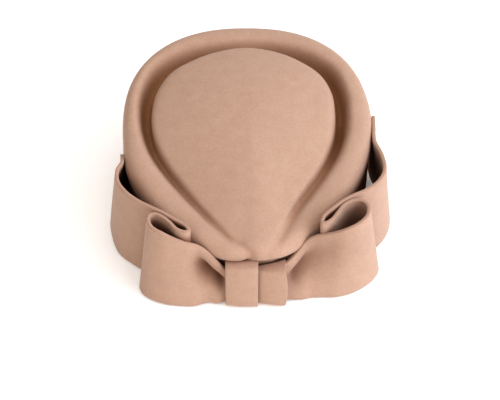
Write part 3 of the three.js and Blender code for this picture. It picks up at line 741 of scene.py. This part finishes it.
def crown_object(shell, fibres):
    """The crown, closed with a fan of faces at the middle of its dome, outside and inside. Its rim
    faces down, so no cut edge is drawn on it."""
    count, size = shell.shape[:2]
    top = np.array([0, 0, MIDDLE_HEIGHT + DOME_RISE, 0, 0])
    points = np.concatenate([shell.reshape(-1, 5), [top, top - (0, 0, FELT, 0, 0)]])
    points = np.insert(points, 3, 0, axis=1)
    faces = quads(count, size, True, False)[:, ::-1].tolist()
    first = np.arange(count) * size
    after = np.roll(first, -1)
    last = size - 1
    outside = np.full(count, count * size)
    inside = outside + 1
    faces += np.stack([first, after, outside], -1).tolist()
    faces += np.stack([after + last, first + last, inside], -1).tolist()
    return mesh_object("felt_crown", points, faces, fibres)


# Felt

# Wool felt in a natural beige: between the tufts of its nap and on them, painted shade deep in the
# groove and between layers, where only other felt lights it, on a cut edge and in its sheen
FELT_SHADE = "#b39380"
FELT_LIGHT = "#bfa18e"
PAINTED_GROOVE_SHADE_COLOUR = "#8a5c2c"
PAINTED_LAYER_SHADE_COLOUR = "#5c2c0a"
CUT_COLOUR = "#b49482"
SHEEN_COLOUR = "#f4ece8"

# A felted nap scatters nearly all of its light and has no gloss. The sheen is the haze of its fibre
# ends, which fades out where the painted shade comes to SHEEN_GONE. Sizes are in mm: real tufts are
# about half a millimetre and would not show, so they are drawn coarser, and the clouds are the dye's.
FELT_ROUGHNESS = 0.95
FELT_SPECULAR = 0.06
FELT_SHEEN = 0.3
SHEEN_ROUGHNESS = 0.5
SHEEN_GONE = 0.4
TUFT_SIZE = 1.4
TUFT_DETAIL = 3.0
TUFT_ROUGHNESS = 0.7
TUFT_HEIGHT = 0.3
TUFT_STRENGTH = 0.25
CLOUD_SIZE = 9
CLOUD_SHARE = 0.3
NOISE_RANGE = (0.3, 0.7)


def linear(hex_colour):
    """A screen colour as the linear values that shaders take."""
    srgb = np.array([int(hex_colour[i:i + 2], 16) for i in (1, 3, 5)]) / 255
    return tuple(np.where(srgb <= 0.04045, srgb / 12.92, ((srgb + 0.055) / 1.055) ** 2.4)) + (1.0,)


def add_node(tree, kind, inputs=None, **settings):
    """A shader node with its settings, and its inputs set to values or linked to sockets."""
    node = tree.nodes.new(kind)
    for name, value in settings.items():
        setattr(node, name, value)
    for name, value in (inputs or {}).items():
        if isinstance(value, bpy.types.NodeSocket):
            tree.links.new(value, node.inputs[name])
        else:
            node.inputs[name].default_value = value
    return node


def noise(tree, where, size_mm, detail=2.0, roughness=0.5):
    """Noise whose lumps are about size_mm across."""
    inputs = {"Vector": where, "Scale": 1 / (size_mm * MM), "Detail": detail, "Roughness": roughness}
    return add_node(tree, "ShaderNodeTexNoise", inputs).outputs["Fac"]


def mixed(tree, factor, a, b):
    """Colour a turning into colour b."""
    node = add_node(tree, "ShaderNodeMix", data_type="RGBA")
    for index, value in ((0, factor), (6, a), (7, b)):
        if isinstance(value, bpy.types.NodeSocket):
            tree.links.new(value, node.inputs[index])
        else:
            node.inputs[index].default_value = value
    return node.outputs[2]


def felt(name):
    """Wool felt: a soft matt nap, mottled finely and clouding a little from place to place, with a
    sheen that pales it where it turns away. Deep in the groove a painted shade makes it darker and
    warmer, between layers a painted shade makes it darker still, and its cut edges are a little
    duller. The mesh's attributes say where."""
    material = bpy.data.materials.new(name)
    material.use_nodes = True
    tree = material.node_tree
    shader = tree.nodes["Principled BSDF"]
    where = add_node(tree, "ShaderNodeTexCoord").outputs["Object"]
    clouds = noise(tree, where, CLOUD_SIZE)
    tufts = noise(tree, where, TUFT_SIZE, TUFT_DETAIL, TUFT_ROUGHNESS)
    either = add_node(tree, "ShaderNodeMix", {"Factor": CLOUD_SHARE, "A": tufts, "B": clouds})
    mottle = add_node(tree, "ShaderNodeMapRange", {"Value": either.outputs["Result"],
                                                   "From Min": NOISE_RANGE[0], "From Max": NOISE_RANGE[1]})
    depth = add_node(tree, "ShaderNodeAttribute", attribute_name="painted_groove_shade").outputs["Fac"]
    between_layers_shade = add_node(tree, "ShaderNodeAttribute", attribute_name="painted_layer_shade").outputs["Fac"]
    cut_edge = add_node(tree, "ShaderNodeAttribute", attribute_name="cut").outputs["Fac"]
    colour = mixed(tree, mottle.outputs["Result"], linear(FELT_SHADE), linear(FELT_LIGHT))
    # Painted shade in the groove
    colour = mixed(tree, depth, colour, linear(PAINTED_GROOVE_SHADE_COLOUR))
    # Painted shade between layers, in the bow's hollows and on the crown's wall behind the bands
    colour = mixed(tree, between_layers_shade, colour, linear(PAINTED_LAYER_SHADE_COLOUR))
    colour = mixed(tree, cut_edge, colour, linear(CUT_COLOUR))
    # The sheen fades out where the painted shade lies
    darkest = add_node(tree, "ShaderNodeMath", operation="MAXIMUM")
    tree.links.new(depth, darkest.inputs[0])
    tree.links.new(between_layers_shade, darkest.inputs[1])
    sheen = add_node(tree, "ShaderNodeMapRange", {"Value": darkest.outputs["Value"], "From Max": SHEEN_GONE,
                                                  "To Min": FELT_SHEEN, "To Max": 0.0})
    nap = add_node(tree, "ShaderNodeBump", {"Height": tufts, "Strength": TUFT_STRENGTH,
                                            "Distance": TUFT_HEIGHT * MM})
    tree.links.new(colour, shader.inputs["Base Color"])
    tree.links.new(sheen.outputs["Result"], shader.inputs["Sheen Weight"])
    tree.links.new(nap.outputs["Normal"], shader.inputs["Normal"])
    shader.inputs["Roughness"].default_value = FELT_ROUGHNESS
    shader.inputs["Specular IOR Level"].default_value = FELT_SPECULAR
    shader.inputs["Sheen Roughness"].default_value = SHEEN_ROUGHNESS
    shader.inputs["Sheen Tint"].default_value = linear(SHEEN_COLOUR)
    return material


# Stage

FLOOR_COLOUR = "#f4f2ef"
FLOOR_ROUGHNESS = 0.9
FLOOR_GLOW = 0.15
FLOOR_REACH = 2.5

# How bright the white surround is on the hat's left and on its right
SURROUND = (0.08, 1.04)

# Square soft boxes, their side and how far off they stand, m. Each has its azimuth round from behind
# the hat, right side positive, its elevation, its power in watts and its colour.
LIGHT_SIZE = 1.0
LIGHT_DISTANCE = 1.8
LIGHTS = {
    "key_light": (70, 35, 7.6, (0.88, 1.02, 1.25)),
    "left_light": (-60, 60, 1.6, (1.0, 1.0, 1.0)),
    "fill_light": (-30, 30, 4.2, (1.05, 1.0, 0.95)),
    "low_light": (42, 15, 4.6, (0.93, 1.01, 1.12)),
    "top_light": (0, 88, 3.6, (1.06, 1.0, 0.94)),
}


def away(azimuth, elevation, distance):
    """A place at a distance from the hat, azimuth 0 behind it and 90 to its right."""
    a, e = np.radians(azimuth), np.radians(elevation)
    step = np.array([np.sin(a) * np.cos(e), -np.cos(a) * np.cos(e), np.sin(e)])
    return TARGET + distance * step


def stand(name, data, place_at):
    """A camera or light at a place, turned to face the hat."""
    thing = bpy.data.objects.new(name, data)
    thing.location = place_at
    thing.rotation_euler = (Vector(TARGET) - thing.location).to_track_quat("-Z", "Y").to_euler()
    bpy.context.scene.collection.objects.link(thing)
    return thing


def pale_floor():
    """A square floor under the rim that stays near white in the hat's soft shadow."""
    mesh = bpy.data.meshes.new("floor")
    corners = [(x * FLOOR_REACH, y * FLOOR_REACH, 0) for x, y in ((-1, -1), (1, -1), (1, 1), (-1, 1))]
    mesh.from_pydata(corners, [], [(0, 1, 2, 3)])
    floor = bpy.data.objects.new("floor", mesh)
    bpy.context.scene.collection.objects.link(floor)
    material = bpy.data.materials.new("pale_floor")
    material.use_nodes = True
    shader = material.node_tree.nodes["Principled BSDF"]
    shader.inputs["Base Color"].default_value = linear(FLOOR_COLOUR)
    shader.inputs["Roughness"].default_value = FLOOR_ROUGHNESS
    shader.inputs["Emission Color"].default_value = (1, 1, 1, 1)
    shader.inputs["Emission Strength"].default_value = FLOOR_GLOW
    mesh.materials.append(material)


def white_surround():
    """A white world whose brightness rises evenly from the hat's left to its right."""
    world = bpy.data.worlds.new("surround")
    world.use_nodes = True
    tree = world.node_tree
    direction = add_node(tree, "ShaderNodeTexCoord").outputs["Generated"]
    right = add_node(tree, "ShaderNodeSeparateXYZ", {"Vector": direction}).outputs["X"]
    glow = add_node(tree, "ShaderNodeMapRange", {"Value": right, "From Min": -1.0, "From Max": 1.0,
                                                 "To Min": SURROUND[0], "To Max": SURROUND[1]})
    tree.links.new(glow.outputs["Result"], tree.nodes["Background"].inputs["Strength"])
    tree.nodes["Background"].inputs["Color"].default_value = (1, 1, 1, 1)
    bpy.context.scene.world = world


def soft_boxes():
    """The soft boxes round the hat."""
    for name, (azimuth, elevation, power, colour) in LIGHTS.items():
        data = bpy.data.lights.new(name, "AREA")
        data.size = LIGHT_SIZE
        data.energy = power
        data.color = colour
        stand(name, data, away(azimuth, elevation, LIGHT_DISTANCE))


def photo_camera():
    """A camera behind and above the hat, whose lens gives MM_PER_PIXEL at what it looks at."""
    data = bpy.data.cameras.new("camera")
    data.sensor_width = SENSOR_WIDTH
    data.lens = CAMERA_DISTANCE / MM_PER_PIXEL * SENSOR_WIDTH / PHOTO_WIDTH
    scene = bpy.context.scene
    scene.camera = stand("camera", data, away(0, CAMERA_ELEVATION, CAMERA_DISTANCE * MM))
    scene.view_settings.view_transform = "Standard"
    scene.view_settings.look = "High Contrast"


# The hat's own frame is shifted so that the crown's box lies over the CAD model's
crown_low, crown_high = (np.array(corner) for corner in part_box("crown"))
shell = crown_shell()
own = shell[..., :3].reshape(-1, 3)
SHIFT = ((crown_low + crown_high) / MM - own.min(0) - own.max(0)) / 2 * (1, 1, 0)
TARGET = place(np.array(LOOK_AT, float))

pale_floor()
white_surround()
soft_boxes()
photo_camera()

right_loops, right_length = band_loops(RIGHT_BAND, 1)
left_loops, left_length = band_loops(LEFT_BAND, -1)
pieces = {
    "crown": crown_object(shell, CROWN_FIBRES),
    "band_right": loop_object("felt_band_right", right_loops, False, BAND_FIBRES),
    "band_left": loop_object("felt_band_left", left_loops, False, BAND_FIBRES, flip=True),
    "knot_strap_left": loop_object("felt_strap_left", strap_loops("left"), True, STRAP_FIBRES),
    "knot_strap_right": loop_object("felt_strap_right", strap_loops("right"), True, STRAP_FIBRES),
}
slots = {"crown": "crown_felt", "band_right": "band_felt", "band_left": "band_felt",
         "knot_strap_left": "strap_felt", "knot_strap_right": "strap_felt"}
materials = {name: felt(name) for name in sorted(set(slots.values()))}
for node, piece in pieces.items():
    piece.data.materials.append(materials[slots[node]])
    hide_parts(node)
    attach(piece, "root")
